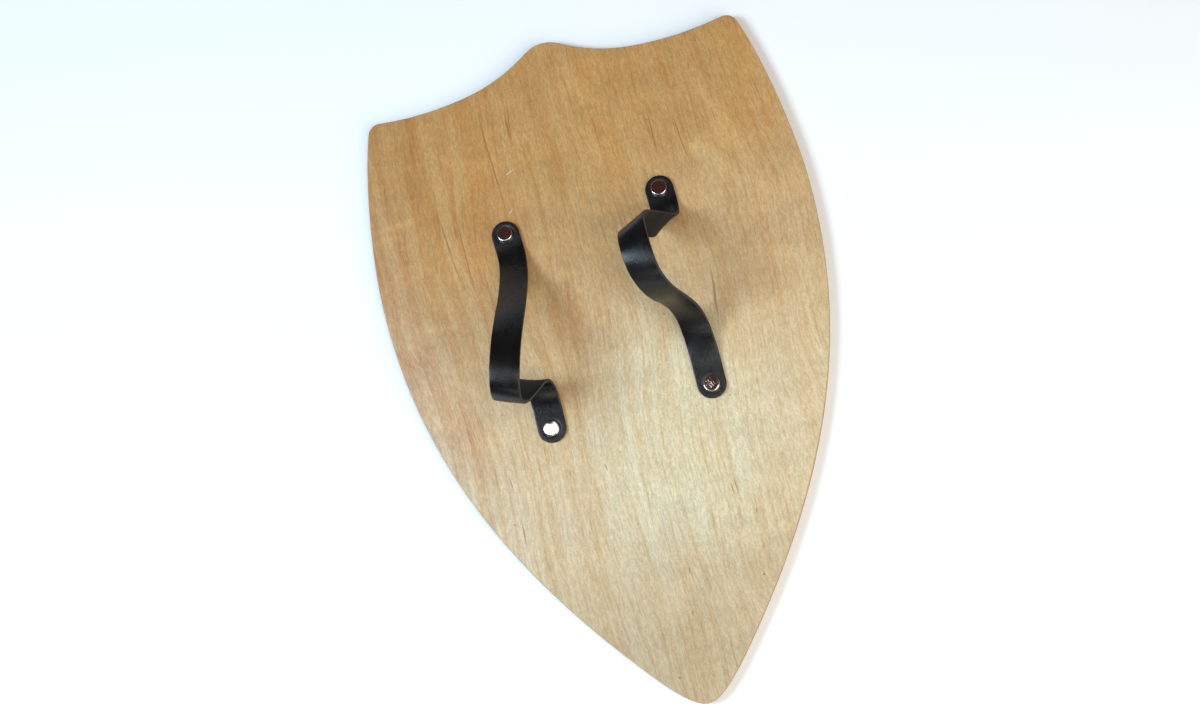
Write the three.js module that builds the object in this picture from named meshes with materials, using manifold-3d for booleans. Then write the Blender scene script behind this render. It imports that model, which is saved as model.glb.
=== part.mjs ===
// A child's play heater shield: a flat plywood board with two riveted leather arm straps.
// Millimetres. +X is the wearer's right as the back is looked at, +Y points to the top peak and
// +Z comes up out of the back, where the straps are. The shield lies on its front: the origin is
// under the middle of the board, at the level of the four front rivet heads it rests on.

import * as THREE from 'three';
import { mergeVertices } from 'three/addons/utils/BufferGeometryUtils.js';
import Module from 'manifold-3d';

const wasm = await Module();
wasm.setup();

// ---- driving dimensions ----

const BOARD_HEIGHT = 457;
const BOARD_WIDTH = 299;
const BOARD_THICKNESS = 6;
const EDGE_CHAMFER = 0.8;

const STRAP_WIDTH = 19;
const STRAP_THICKNESS = 2.3;
const STRAP_SEAT_GAP = 0.05;
const STRAP_EDGE_EASE = 0.4;
const STRAP_STEP = 3.4;
const ROUND_END_STEPS = 6;

const RIVET_TOP_Y = 101.3;
const RIVET_BOTTOM_Y = -35.9;
const RIVET_X = { left: -54.8, right: 53.4 };
const RIVET_HEAD_RADIUS = 5.5;
const RIVET_HEAD_HEIGHT = 2.2;
const RIVET_RIM_HEIGHT = 0.9;
const RIVET_POST_RADIUS = 1.8;
const RIVET_HOLE_RADIUS = 2.1;
const ROUND_SEGMENTS = 28;
const DOME_STEPS = 5;
const HOLE_SEGMENTS = 16;
const ARC_LENGTH_STEPS_PER_ROW = 40;
const MERGE_DISTANCE = 1e-4;

const FRONT_FACE_Z = RIVET_HEAD_HEIGHT;
const BACK_FACE_Z = FRONT_FACE_Z + BOARD_THICKNESS;
const LEATHER_TOP_Z = BACK_FACE_Z + STRAP_SEAT_GAP + STRAP_THICKNESS;
const DRILL_LENGTH = 4 * BACK_FACE_Z;

// ---- the board's outline ----

const HALF_HEIGHT = BOARD_HEIGHT / 2;
const HALF_WIDTH = BOARD_WIDTH / 2;
const WIDEST_Y = 83.5;
const PEAK_RADIUS = 22;
const PEAK_SWEEP = THREE.MathUtils.degToRad(33.6);
const DIP_RADIUS = 115;
const SHOULDER_RADIUS = 212;
const SHOULDER_SWEEP = THREE.MathUtils.degToRad(17.5);
const CORNER_RADIUS = 8.4;
const CORNER_SWEEP = THREE.MathUtils.degToRad(79);
const DIP_SWEEP = THREE.MathUtils.degToRad(25.4);
// Control points of the three curves that run on from the corner, each from the last one's end:
// down to the widest place, down the long side and round the tip.
const UPPER_SIDE = [[142.6, 172], [HALF_WIDTH, 118], [HALF_WIDTH, WIDEST_Y]];
const LONG_SIDE = [[HALF_WIDTH, -29], [104, -119.5], [30, -204.7]];
const TIP = [[22.1, -213.7], [9, -HALF_HEIGHT], [0, -HALF_HEIGHT]];
const OUTLINE_STEPS = {
  peak: 5, dip: 8, shoulder: 9, corner: 8, upperSide: 16, longSide: 40, tip: 8,
};

// Adds a tangent arc to a path of points. A positive sweep turns left, a negative one right.
function addArc(path, radius, sweep, segments) {
  const turn = Math.sign(sweep);
  const { x, y } = path.points[path.points.length - 1];
  const centreX = x - turn * radius * Math.sin(path.heading);
  const centreY = y + turn * radius * Math.cos(path.heading);
  for (let i = 1; i <= segments; i += 1) {
    const heading = path.heading + (sweep * i) / segments;
    path.points.push(new THREE.Vector2(
      centreX + turn * radius * Math.sin(heading),
      centreY - turn * radius * Math.cos(heading),
    ));
  }
  path.heading += sweep;
}

function addBezier(path, control, segments) {
  const start = path.points[path.points.length - 1];
  const points = control.map(([x, y]) => new THREE.Vector2(x, y));
  const curve = new THREE.CubicBezierCurve(start, ...points);
  path.points.push(...curve.getPoints(segments).slice(1));
}

// The right half, from the peak down to the tip: peak, scallop, corner, side and tip.
function halfOutline() {
  const path = { points: [new THREE.Vector2(0, HALF_HEIGHT)], heading: 0 };
  addArc(path, PEAK_RADIUS, -PEAK_SWEEP, OUTLINE_STEPS.peak);
  addArc(path, DIP_RADIUS, DIP_SWEEP, OUTLINE_STEPS.dip);
  addArc(path, SHOULDER_RADIUS, SHOULDER_SWEEP, OUTLINE_STEPS.shoulder);
  addArc(path, CORNER_RADIUS, -CORNER_SWEEP, OUTLINE_STEPS.corner);
  addBezier(path, UPPER_SIDE, OUTLINE_STEPS.upperSide);
  addBezier(path, LONG_SIDE, OUTLINE_STEPS.longSide);
  addBezier(path, TIP, OUTLINE_STEPS.tip);
  return path.points;
}

function boardShape() {
  const right = halfOutline();
  const left = right.slice(1, -1).map((p) => new THREE.Vector2(-p.x, p.y));
  return new THREE.Shape([...left, right[right.length - 1], ...right.slice(0, -1).reverse()]);
}

// ---- solids ----

function toSolid(geometry) {
  const plain = geometry.index ? geometry.toNonIndexed() : geometry.clone();
  for (const name of Object.keys(plain.attributes)) {
    if (name !== 'position') plain.deleteAttribute(name);
  }
  const merged = mergeVertices(plain, MERGE_DISTANCE);
  return new wasm.Manifold(new wasm.Mesh({
    numProp: 3,
    vertProperties: new Float32Array(merged.attributes.position.array),
    triVerts: new Uint32Array(merged.index.array),
  }));
}

function toGeometry(solid) {
  const mesh = solid.getMesh();
  const geometry = new THREE.BufferGeometry();
  geometry.setAttribute('position', new THREE.BufferAttribute(mesh.vertProperties, 3));
  geometry.setIndex(new THREE.BufferAttribute(mesh.triVerts, 1));
  const faceted = geometry.toNonIndexed();
  faceted.computeVertexNormals();
  return faceted;
}

// The same geometry with a rivet hole through it at each given place.
function drill(geometry, places) {
  let solid = toSolid(geometry);
  for (const [x, y] of places) {
    const drillBit = new THREE.CylinderGeometry(
      RIVET_HOLE_RADIUS, RIVET_HOLE_RADIUS, DRILL_LENGTH, HOLE_SEGMENTS,
    );
    drillBit.rotateX(Math.PI / 2);
    drillBit.translate(x, y, BACK_FACE_Z);
    solid = solid.subtract(toSolid(drillBit));
  }
  return toGeometry(solid);
}

function boardGeometry(holes) {
  const geometry = new THREE.ExtrudeGeometry(boardShape(), {
    depth: BOARD_THICKNESS - 2 * EDGE_CHAMFER,
    bevelEnabled: true,
    bevelThickness: EDGE_CHAMFER,
    bevelSize: EDGE_CHAMFER,
    bevelOffset: -EDGE_CHAMFER,
    bevelSegments: 1,
  });
  geometry.translate(0, 0, FRONT_FACE_Z + EDGE_CHAMFER);
  return drill(geometry, holes);
}

// ---- the straps ----

// Where each strap's middle line runs, from its top end to its bottom end: x, y and height above
// the board's back face, then how far the strap's width is turned about +Z and how far its
// right-hand edge is raised, both in degrees.
const LEFT_ROUTE = [
  [-54.9, 110.5, 1.2, 2, 0],
  [-54.8, 101.3, 1.2, 2, 0],
  [-54.4, 93.5, 1.2, 2, 0],
  [-54, 88.5, 1.2, 1.5, 0],
  [-53.7, 79, 5.3, 0, 0],
  [-54.1, 63.5, 16.5, -5, -4],
  [-55.4, 48.5, 29.3, -7.5, -3],
  [-57.4, 32.5, 43.8, -12, -6],
  [-60.1, 16.2, 55.4, -14, -8],
  [-63.8, -1.5, 61.7, -13.5, -5.5],
  [-67.1, -14.3, 60, -14.5, -1],
  [-69.1, -21, 50.8, -20.5, 5],
  [-66.4, -18.5, 39.4, -27, 5],
  [-60.5, -10.6, 28.4, -28.5, 5],
  [-56.2, -5.7, 18.3, -18, 10.3],
  [-54.8, -7.6, 10.3, -8, 8.8],
  [-54.6, -14.8, 4, -2.2, 3],
  [-54.6, -22, 1.2, -1, 0],
  [-54.7, -27, 1.2, -1, 0],
  [-54.8, -35.9, 1.2, -1, 0],
  [-54.9, -45.1, 1.2, -1, 0],
];

const RIGHT_ROUTE = [
  [53.1, 110.4, 1.2, 2, 0],
  [53.4, 101.3, 1.2, 2, 0],
  [53.6, 93.5, 1.2, 2, 0],
  [53.6, 89.5, 1.2, 2, 0],
  [53.5, 83.7, 3.8, 4, 6.5],
  [53.1, 76.8, 9, 13, 16],
  [51.6, 71.8, 16.6, 26, 22.5],
  [47.6, 69.6, 27, 37, 23],
  [42.4, 69, 37.7, 35.5, 22.5],
  [37.6, 68.3, 48, 28.5, 23],
  [34.3, 64.8, 58.5, 15, 19.5],
  [33.6, 57.2, 65.3, 5.3, 9.5],
  [33.8, 45, 68.6, 3.4, 6],
  [34.8, 32, 65.8, 0.5, 15.5],
  [37.6, 23.2, 57.5, -3, 20],
  [41.8, 18.1, 45.8, -5, 20.6],
  [47, 15.5, 31.4, -10.5, 20.8],
  [51.3, 10.2, 17.9, -9.5, 19],
  [53.1, -0.5, 8, -3, 12],
  [53.6, -12.5, 2.9, -1, 5],
  [53.6, -21, 1.2, -1, 0],
  [53.5, -27, 1.2, -1.2, 0],
  [53.4, -35.9, 1.2, -1.4, 0],
  [53.2, -45.1, 1.2, -1.4, 0],
];

// A smooth curve through the named columns of a route.
function routeCurve(route, columns) {
  const points = route.map((row) => new THREE.Vector3(...columns.map((c) => row[c] ?? 0)));
  return new THREE.CatmullRomCurve3(points, false, 'centripetal');
}

// Distances along a strap at which its section is drawn: close together round both ends.
function sectionDistances(length) {
  const radius = STRAP_WIDTH / 2;
  const ends = [];
  for (let i = 1; i <= ROUND_END_STEPS; i += 1) {
    ends.push(radius * (1 - Math.cos((i * Math.PI) / (2 * ROUND_END_STEPS))));
  }
  const steps = Math.round((length - STRAP_WIDTH) / STRAP_STEP);
  const between = [];
  for (let i = 1; i < steps; i += 1) {
    between.push(radius + ((length - STRAP_WIDTH) * i) / steps);
  }
  return [...ends, ...between, ...ends.map((d) => length - d).reverse()];
}

// Half the strap's width, which falls away in a half circle at each end.
function halfWidthAt(distance, length) {
  const radius = STRAP_WIDTH / 2;
  const fromEnd = Math.min(distance, length - distance, radius);
  return Math.sqrt(radius ** 2 - (radius - fromEnd) ** 2);
}

// The strap's section with eased corners, as pairs of across and up distances.
function sectionProfile(halfWidth) {
  const half = STRAP_THICKNESS / 2;
  const inner = halfWidth - STRAP_EDGE_EASE;
  const low = half - STRAP_EDGE_EASE;
  return [
    [-inner, -half], [inner, -half], [halfWidth, -low], [halfWidth, low],
    [inner, half], [-inner, half], [-halfWidth, low], [-halfWidth, -low],
  ];
}

// The corners of the strap's section at one place, lifted clear of the board where it would touch.
function sectionCorners(middleCurve, angleCurve, distance, length) {
  const t = middleCurve.getUtoTmapping(distance / length);
  const middle = middleCurve.getPoint(t);
  const along = middleCurve.getTangent(t);
  const angles = angleCurve.getPoint(t);
  const turn = THREE.MathUtils.degToRad(angles.x);
  const tilt = THREE.MathUtils.degToRad(angles.y);
  const across = new THREE.Vector3(
    Math.cos(turn) * Math.cos(tilt), Math.sin(turn) * Math.cos(tilt), Math.sin(tilt),
  );
  across.addScaledVector(along, -across.dot(along)).normalize();
  const up = new THREE.Vector3().crossVectors(along, across);
  const corners = sectionProfile(halfWidthAt(distance, length)).map(([sideways, upwards]) => (
    middle.clone().addScaledVector(across, sideways).addScaledVector(up, upwards)
  ));
  const lowest = Math.min(...corners.map((corner) => corner.z));
  const lift = Math.max(0, STRAP_SEAT_GAP - lowest);
  corners.forEach((corner) => corner.add(new THREE.Vector3(0, 0, BACK_FACE_Z + lift)));
  return corners;
}

// A closed skin over a row of sections that all have the same number of corners.
function skinOver(sections) {
  const count = sections[0].length;
  const triangles = [];
  for (let s = 0; s + 1 < sections.length; s += 1) {
    for (let k = 0; k < count; k += 1) {
      const near = s * count + k;
      const nearNext = s * count + ((k + 1) % count);
      triangles.push(near, nearNext, nearNext + count, near, nearNext + count, near + count);
    }
  }
  const last = (sections.length - 1) * count;
  for (let k = 1; k + 1 < count; k += 1) {
    triangles.push(0, k + 1, k, last, last + k, last + k + 1);
  }
  const geometry = new THREE.BufferGeometry().setFromPoints(sections.flat());
  geometry.setIndex(triangles);
  return geometry;
}

function strapGeometry(route, holes) {
  const middleCurve = routeCurve(route, [0, 1, 2]);
  const angleCurve = routeCurve(route, [3, 4]);
  middleCurve.arcLengthDivisions = ARC_LENGTH_STEPS_PER_ROW * route.length;
  const length = middleCurve.getLength();
  const sections = sectionDistances(length).map((distance) => (
    sectionCorners(middleCurve, angleCurve, distance, length)
  ));
  return drill(skinOver(sections), holes);
}

// ---- the rivets ----

// Half the profile of a low dome that starts at the given level and rises, or with -1 falls.
function domeProfile(level, direction) {
  const points = [new THREE.Vector2(RIVET_HEAD_RADIUS, level)];
  const crown = RIVET_HEAD_HEIGHT - RIVET_RIM_HEIGHT;
  for (let i = 0; i <= DOME_STEPS; i += 1) {
    const angle = (i * Math.PI) / (2 * DOME_STEPS);
    const radius = i === DOME_STEPS ? 0 : RIVET_HEAD_RADIUS * Math.cos(angle);
    const rise = RIVET_RIM_HEIGHT + crown * Math.sin(angle);
    points.push(new THREE.Vector2(radius, level + direction * rise));
  }
  return points;
}

function latheAboutZ(profile) {
  const geometry = new THREE.LatheGeometry(profile, ROUND_SEGMENTS);
  geometry.rotateX(Math.PI / 2);
  return toGeometry(toSolid(geometry));
}

function capGeometry() {
  return latheAboutZ([new THREE.Vector2(0, LEATHER_TOP_Z), ...domeProfile(LEATHER_TOP_Z, 1)]);
}

// The front head and the post that runs up from it through the board and the leather.
function postGeometry() {
  return latheAboutZ([
    ...domeProfile(FRONT_FACE_Z, -1).reverse(),
    new THREE.Vector2(RIVET_POST_RADIUS, FRONT_FACE_Z),
    new THREE.Vector2(RIVET_POST_RADIUS, LEATHER_TOP_Z),
    new THREE.Vector2(0, LEATHER_TOP_Z),
  ]);
}

// ---- finishes and assembly ----

const plywood = new THREE.MeshStandardMaterial({ color: 0xd3b98a, roughness: 0.55, metalness: 0 });
const leather = new THREE.MeshStandardMaterial({ color: 0x2b2a28, roughness: 0.5, metalness: 0 });
const nickel = new THREE.MeshStandardMaterial({ color: 0xc8c3bc, roughness: 0.18, metalness: 1 });

const shield = new THREE.Group();

function addPiece(name, geometry, material) {
  const mesh = new THREE.Mesh(geometry, material);
  mesh.name = name;
  shield.add(mesh);
  return mesh;
}

const RIVET_ROWS = { top: RIVET_TOP_Y, bottom: RIVET_BOTTOM_Y };
const ROUTES = { left: LEFT_ROUTE, right: RIGHT_ROUTE };
const allRivets = [];

for (const [side, route] of Object.entries(ROUTES)) {
  const places = Object.values(RIVET_ROWS).map((y) => [RIVET_X[side], y]);
  addPiece(`${side}_strap`, strapGeometry(route, places), leather);
  allRivets.push(...places);
  for (const [row, y] of Object.entries(RIVET_ROWS)) {
    addPiece(`rivet_cap_${row}_${side}`, capGeometry(), nickel).position.set(RIVET_X[side], y, 0);
    addPiece(`rivet_post_${row}_${side}`, postGeometry(), nickel).position.set(RIVET_X[side], y, 0);
  }
}
addPiece('shield_board', boardGeometry(allRivets), plywood);

export default shield;
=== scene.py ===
"""A child's play heater shield lying on its front: a plywood board with two riveted leather straps.

Laid out as an add-on. Run as a script, it builds every piece round the frame and the studio that
shows them. Sizes in the code are millimetres times MM, and places are metres in the frame.
"""

import math

import bmesh
import bpy
import numpy as np
from mathutils import Matrix, Vector, noise


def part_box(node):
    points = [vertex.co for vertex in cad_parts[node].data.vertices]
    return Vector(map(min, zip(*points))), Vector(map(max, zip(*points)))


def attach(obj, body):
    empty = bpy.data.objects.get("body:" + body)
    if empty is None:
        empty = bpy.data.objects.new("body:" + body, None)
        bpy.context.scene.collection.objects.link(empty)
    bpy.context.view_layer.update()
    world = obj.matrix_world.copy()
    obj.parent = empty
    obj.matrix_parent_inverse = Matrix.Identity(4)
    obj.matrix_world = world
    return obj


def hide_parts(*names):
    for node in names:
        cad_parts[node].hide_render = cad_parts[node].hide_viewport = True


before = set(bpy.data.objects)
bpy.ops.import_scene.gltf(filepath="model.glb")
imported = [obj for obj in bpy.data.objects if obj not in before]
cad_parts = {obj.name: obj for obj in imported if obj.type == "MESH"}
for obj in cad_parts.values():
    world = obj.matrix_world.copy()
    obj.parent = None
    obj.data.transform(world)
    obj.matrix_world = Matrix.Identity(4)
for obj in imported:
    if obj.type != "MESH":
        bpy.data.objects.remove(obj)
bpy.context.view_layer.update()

bl_info = {
    "name": "Play Heater Shield",
    "version": (1, 0, 0),
    "blender": (4, 5, 0),
    "location": "View3D > Sidebar > Play Shield",
    "description": "Builds a plywood play shield with two riveted leather straps",
    "category": "Add Mesh",
}

MM = 0.001
WELD = 0.01 * MM

SIDES = ("left", "right")
ROWS = ("top", "bottom")


def middle_of(node):
    """The middle of a frame node's box."""
    low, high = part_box(node)
    return (low + high) / 2


BOARD_LOW, BOARD_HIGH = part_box("shield_board")
FRONT_FACE = BOARD_LOW.z
BACK_FACE = BOARD_HIGH.z
LEATHER_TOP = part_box("rivet_cap_top_left")[0].z
CAP_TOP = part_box("rivet_cap_top_left")[1].z
RIVET_RADIUS = (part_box("rivet_cap_top_left")[1].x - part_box("rivet_cap_top_left")[0].x) / 2
RIVETS = {(row, side): middle_of(f"rivet_cap_{row}_{side}") for side in SIDES for row in ROWS}

# ---- the straps' routes ----

# Each strap's middle line from its top end to its bottom end, in millimetres and degrees: x, y and
# the height over the board's back, then how far the width is turned about Z and how far its
# right-hand edge is raised. They are the routes of the frame's own straps.
STRAP_ROUTES = {
    "left": [
        (-54.9, 110.5, 1.2, 2, 0),
        (-54.8, 101.3, 1.2, 2, 0),
        (-54.4, 93.5, 1.2, 2, 0),
        (-54, 88.5, 1.2, 1.5, 0),
        (-53.7, 79, 5.3, 0, 0),
        (-54.1, 63.5, 16.5, -5, -4),
        (-55.4, 48.5, 29.3, -7.5, -3),
        (-57.4, 32.5, 43.8, -12, -6),
        (-60.1, 16.2, 55.4, -14, -8),
        (-63.8, -1.5, 61.7, -13.5, -5.5),
        (-67.1, -14.3, 60, -14.5, -1),
        (-69.1, -21, 50.8, -20.5, 5),
        (-66.4, -18.5, 39.4, -27, 5),
        (-60.5, -10.6, 28.4, -28.5, 5),
        (-56.2, -5.7, 18.3, -18, 10.3),
        (-54.8, -7.6, 10.3, -8, 8.8),
        (-54.6, -14.8, 4, -2.2, 3),
        (-54.6, -22, 1.2, -1, 0),
        (-54.7, -27, 1.2, -1, 0),
        (-54.8, -35.9, 1.2, -1, 0),
        (-54.9, -45.1, 1.2, -1, 0),
    ],
    "right": [
        (53.1, 110.4, 1.2, 2, 0),
        (53.4, 101.3, 1.2, 2, 0),
        (53.6, 93.5, 1.2, 2, 0),
        (53.6, 89.5, 1.2, 2, 0),
        (53.5, 83.7, 3.8, 4, 6.5),
        (53.1, 76.8, 9, 13, 16),
        (51.6, 71.8, 16.6, 26, 22.5),
        (47.6, 69.6, 27, 37, 23),
        (42.4, 69, 37.7, 35.5, 22.5),
        (37.6, 68.3, 48, 28.5, 23),
        (34.3, 64.8, 58.5, 15, 19.5),
        (33.6, 57.2, 65.3, 5.3, 9.5),
        (33.8, 45, 68.6, 3.4, 6),
        (34.8, 32, 65.8, 0.5, 15.5),
        (37.6, 23.2, 57.5, -3, 20),
        (41.8, 18.1, 45.8, -5, 20.6),
        (47, 15.5, 31.4, -10.5, 20.8),
        (51.3, 10.2, 17.9, -9.5, 19),
        (53.1, -0.5, 8, -3, 12),
        (53.6, -12.5, 2.9, -1, 5),
        (53.6, -21, 1.2, -1, 0),
        (53.5, -27, 1.2, -1.2, 0),
        (53.4, -35.9, 1.2, -1.4, 0),
        (53.2, -45.1, 1.2, -1.4, 0),
    ],
}
STEPS_PER_LEG = 40
# Millimetres along a strap: how far a bend spreads, and the step that bends are worked out in.
LEATHER_STIFFNESS = 3.2
RELAX_STEP = 0.25
STRAP_CELL = 0.8 * MM
LEAST_STRAP_HEIGHT = 0.05 * MM
# How far the edges of a strap's free stretch curl away from its hair side, how far from an end
# that starts, and over what distance it grows.
CUPPING = 0.4 * MM
CUPPING_START = 22 * MM
CUPPING_GROWTH = 14 * MM
# A rivet's seat in the leather: the width of its slope, and the rise, place and spread of the
# ring of leather that it pushes up.
SEAT_SLOPE = 0.9 * MM
RING_RISE = 0.02 * MM
RING_GAP = 2.1 * MM
RING_SPREAD = 0.8 * MM
# The fine creases in a strap: their depth, their distance from its lower end and their spread.
CREASE_DEPTH = 0.05 * MM
CREASE_FROM_END = 47 * MM
CREASE_SPREAD = 6 * MM

# ---- marks in the veneer ----

# Thin dark mineral streaks: x, y, half length and half width in millimetres, and the lean in
# degrees from the board's length.
MINERAL_STREAKS = [
    (-52.5, 158, 48, 0.8, 2.3),
    (-36.2, 174.7, 11, 1.1, -1),
    (-34.4, 179, 21, 0.5, -5),
    (-84.8, 96.3, 36, 0.75, 2.9),
    (-95.8, 109.8, 26, 0.7, 5.6),
    (58.9, 140.4, 26, 0.6, -0.4),
    (75.7, 131.2, 26, 0.6, 4.9),
    (93.8, 180.4, 4, 0.6, -4),
    (70.2, 21.6, 26, 0.9, -6.5),
    (-90, -64.4, 8, 0.6, 5),
    (-88.6, -97.6, 12, 0.8, 1),
    (-50.5, -67, 3.5, 0.6, -2),
    (-26.7, -69.4, 3.6, 0.6, 8),
    (49, -103.9, 5.5, 0.6, 5.5),
    (51.4, -101.8, 7, 0.45, 4),
    (60.2, -121.2, 3, 0.6, -8),
    (9.1, -146.6, 3, 0.6, -7),
    (4.5, -172.9, 2.5, 0.6, -14),
]
# Pale scratches, in the same form.
SCRATCHES = [
    (-42.3, 143.9, 4, 0.7, -70),
    (-47.7, 116.6, 3, 0.6, -53),
]
# Small round specks: x, y and radius in millimetres.
SPECKS = [
    (-93.7, -90.3, 0.9),
    (-15.5, -110.3, 0.8),
    (35, 17.9, 0.9),
    (62.6, -45.7, 0.8),
    (-85.6, -17.7, 0.8),
    (53.7, -160.7, 1.0),
    (-13.5, -209.4, 1.0),
    (-15.4, -62.4, 0.7),
]
# The palest part of the veneer, partly its own paler wood and partly a painted pool of light where the
# overhead sheen falls, in the same form.
PALE_AND_LIT_HEART = (22, -62, 118, 84, -12)
# Pale bands where the fibres dip, the curl figure's own pattern with its silky sheen painted on as a
# paler, cooler colour, in the same form with their strength last.
CURL_SHEEN_BANDS = [
    (-123, 130, 30, 4.5, 92, 1.0),
    (-137, 122, 16, 4, 91, 0.7),
    (-118, 52, 30, 5, 84, 0.9),
    (-112, 90, 60, 24, 0, 0.45),
    (-45, 58, 30, 14, 40, 0.6),
    (104, 142, 66, 9, 14, 0.9),
    (92, 112, 40, 9, 32, 0.7),
    (48, 76, 34, 14, 70, 0.6),
    (4, -6, 52, 14, 80, 0.5),
    (108, 40, 44, 12, 60, 0.3),
    (20, 186, 40, 10, 20, 0.5),
]
# Redder patches, with their strength last too.
RED_PATCHES = [
    (-140, 36, 18, 9, 70, 1.0),
    (-24, 2, 46, 9, 12, 0.25),
    (-112, 168, 60, 26, -10, 0.45),
    (-112, -26, 46, 26, 16, 1.0),
    (116, 24, 70, 32, 4, 0.5),
    (-60, -52, 26, 8, 30, 0.6),
    (76, -10, 30, 9, -8, 0.6),
    (18, -150, 34, 8, 6, 0.5),
]
# What the growth rings, the short fibres and the dipping fibres with their painted sheen do to the
# veneer's colour.
WARM_TINT = (0.93, 0.81, 0.66)
DASH_TINT = (0.82, 0.73, 0.60)
CURL_SHEEN_TINT = (1.17, 1.27, 1.38)
STREAK_COLOUR = (0.33, 0.125, 0.048)
SPECK_COLOUR = (0.13, 0.06, 0.03)

# ---- how each rivet was set ----

# The lean of a crown about Y and X in degrees, and the depth of its dents in millimetres.
RIVET_SETTING = {
    ("cap", "top", "left"): ((-0.5, 0.5), 0.004),
    ("cap", "top", "right"): ((0.4, 0.3), 0.003),
    ("cap", "bottom", "left"): ((0.4, -0.9), 0.003),
    ("cap", "bottom", "right"): ((-0.2, 2.3), 0.05),
    ("post", "top", "left"): ((0.6, 0.2), 0.004),
    ("post", "bottom", "right"): ((-0.5, 0.4), 0.01),
}
DENT_SPACING = 0.8 * MM
# How deep a lean reaches below the crown, and how much of it the rim takes.
LEAN_REACH = 1.2 * MM
RIM_LEAN = 0.3
# The share of the radius inside which a crown is dented, and the share over which dents fade.
DENTED_SHARE = 0.72
DENT_FADE = 0.12

# ---- how a rivet's cap is pressed ----

# The height of its upright side, the share of the radius that the rolled edge takes, the rise of
# the crown inside it, then the width of the rim underneath and the depth of the hollow.
CAP_SIDE = 0.5 * MM
ROLL_SHARE = 0.13
ROLL_STEPS = 8
CROWN_RISE = 0.055 * MM
CROWN_RINGS = 13
UNDERTURN = 0.7 * MM
HOLLOW_DEPTH = 0.7 * MM
POST_EASING = 0.3 * MM

# ---- settings that a user would change ----


def length_setting(name, description, default):
    return bpy.props.FloatProperty(
        name=name, description=description, default=default, unit="LENGTH", precision=4
    )


def colour_setting(name, description, default):
    return bpy.props.FloatVectorProperty(
        name=name, description=description, default=default, subtype="COLOR"
    )


def power_setting(name, description, default):
    return bpy.props.FloatProperty(
        name=name, description=description, default=default, subtype="POWER"
    )


class ShieldBoardSettings(bpy.types.PropertyGroup):
    """Sizes and colours of the plywood board."""

    edge_round: length_setting(
        "Edge rounding", "How far the sanded edge is rounded over", 0.8 * MM
    )
    # The fade from tan to cream is partly painted light: the warm light on the top and the overhead
    # sheen lower down.
    tan_veneer: colour_setting(
        "Tan veneer", "Colour of the veneer towards the top of the shield", (0.548, 0.316, 0.118)
    )
    cream_veneer: colour_setting(
        "Cream veneer", "Colour of the veneer towards the tip of the shield", (0.662, 0.582, 0.396)
    )
    glue_line: colour_setting(
        "Glue lines", "Colour of the glue between the plies", (0.10, 0.035, 0.015)
    )


class ShieldStrapSettings(bpy.types.PropertyGroup):
    """Sizes and colours of the leather straps."""

    width: length_setting("Width", "Width of the cut strap", 19 * MM)
    thickness: length_setting("Thickness", "Thickness of the leather", 2.3 * MM)
    hair_side_round: length_setting(
        "Hair side edge", "How far the cut edge is rounded on the smooth side", 0.55 * MM
    )
    hair_side: colour_setting(
        "Hair side", "Colour of the smooth outer side", (0.0038, 0.0039, 0.0042)
    )
    flesh_side: colour_setting(
        "Flesh side", "Colour of the rough inner side", (0.0078, 0.0066, 0.0060)
    )
    # The cut edge's grey is partly the raw fibres' own colour and partly a painted highlight along the
    # edge.
    cut_edge: colour_setting("Cut edge", "Colour of the cut edge", (0.045, 0.050, 0.054))


class ShieldRivetSettings(bpy.types.PropertyGroup):
    """Sizes and colour of the nickel rivets."""

    bite: length_setting("Bite", "How far a cap is pressed into the leather", 0.3 * MM)
    post_radius: length_setting(
        "Post radius", "Radius of the post that joins the two caps", 1.8 * MM
    )
    hole_radius: length_setting(
        "Hole radius", "Radius of the punched hole that the post goes through", 2.1 * MM
    )
    nickel: colour_setting("Nickel", "Colour of the plated metal", (0.86, 0.82, 0.78))


class ShieldStudioSettings(bpy.types.PropertyGroup):
    """The floor, the lights and the room."""

    floor_colour: colour_setting("Floor", "Colour of the pale floor", (0.96, 0.96, 0.96))
    ceiling_colour: colour_setting(
        "Ceiling", "Colour of the dark ceiling that the rivets mirror", (0.050, 0.018, 0.015)
    )
    wall_colour: colour_setting(
        "Walls", "Colour of the grey walls that fill the shadows", (0.090, 0.086, 0.082)
    )
    overhead_power: power_setting(
        "Overhead light", "Power of the soft light over the lower right", 6.6
    )
    shade_power: power_setting(
        "Small light", "Power of the small lamp shade that the lower left rivet mirrors", 0.60
    )
    side_power: power_setting(
        "Side light", "Power of the soft light from the left, which casts the straps' shadows", 16.2
    )
    fill_power: power_setting(
        "Fill light", "Power of the broad warm light from the right, which opens the shadows", 14.0
    )
    front_power: power_setting(
        "Front light", "Power of the light beyond the tip, which draws the crescents on the rivets", 3.6
    )


# ---- selecting and editing ----


def leave_editing():
    """Goes back to object mode with nothing selected."""
    if bpy.context.mode != "OBJECT":
        bpy.ops.object.mode_set(mode="OBJECT")
    bpy.ops.object.select_all(action="DESELECT")


def pick(piece):
    """Makes piece the only selected object and the active one."""
    leave_editing()
    piece.select_set(True)
    bpy.context.view_layer.objects.active = piece


def start_editing(piece):
    """Opens piece alone in edit mode."""
    pick(piece)
    bpy.ops.object.mode_set(mode="EDIT")


def select_where(piece, kind, wanted):
    """In edit mode, selects just the vertices, edges or faces for which wanted says yes."""
    bpy.ops.mesh.select_mode(type=kind)
    bpy.ops.mesh.select_all(action="DESELECT")
    shape = bmesh.from_edit_mesh(piece.data)
    elements = {"VERT": shape.verts, "EDGE": shape.edges, "FACE": shape.faces}[kind]
    for element in elements:
        if wanted(element):
            element.select_set(True)
    shape.select_flush_mode()
    bmesh.update_edit_mesh(piece.data)


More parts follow.
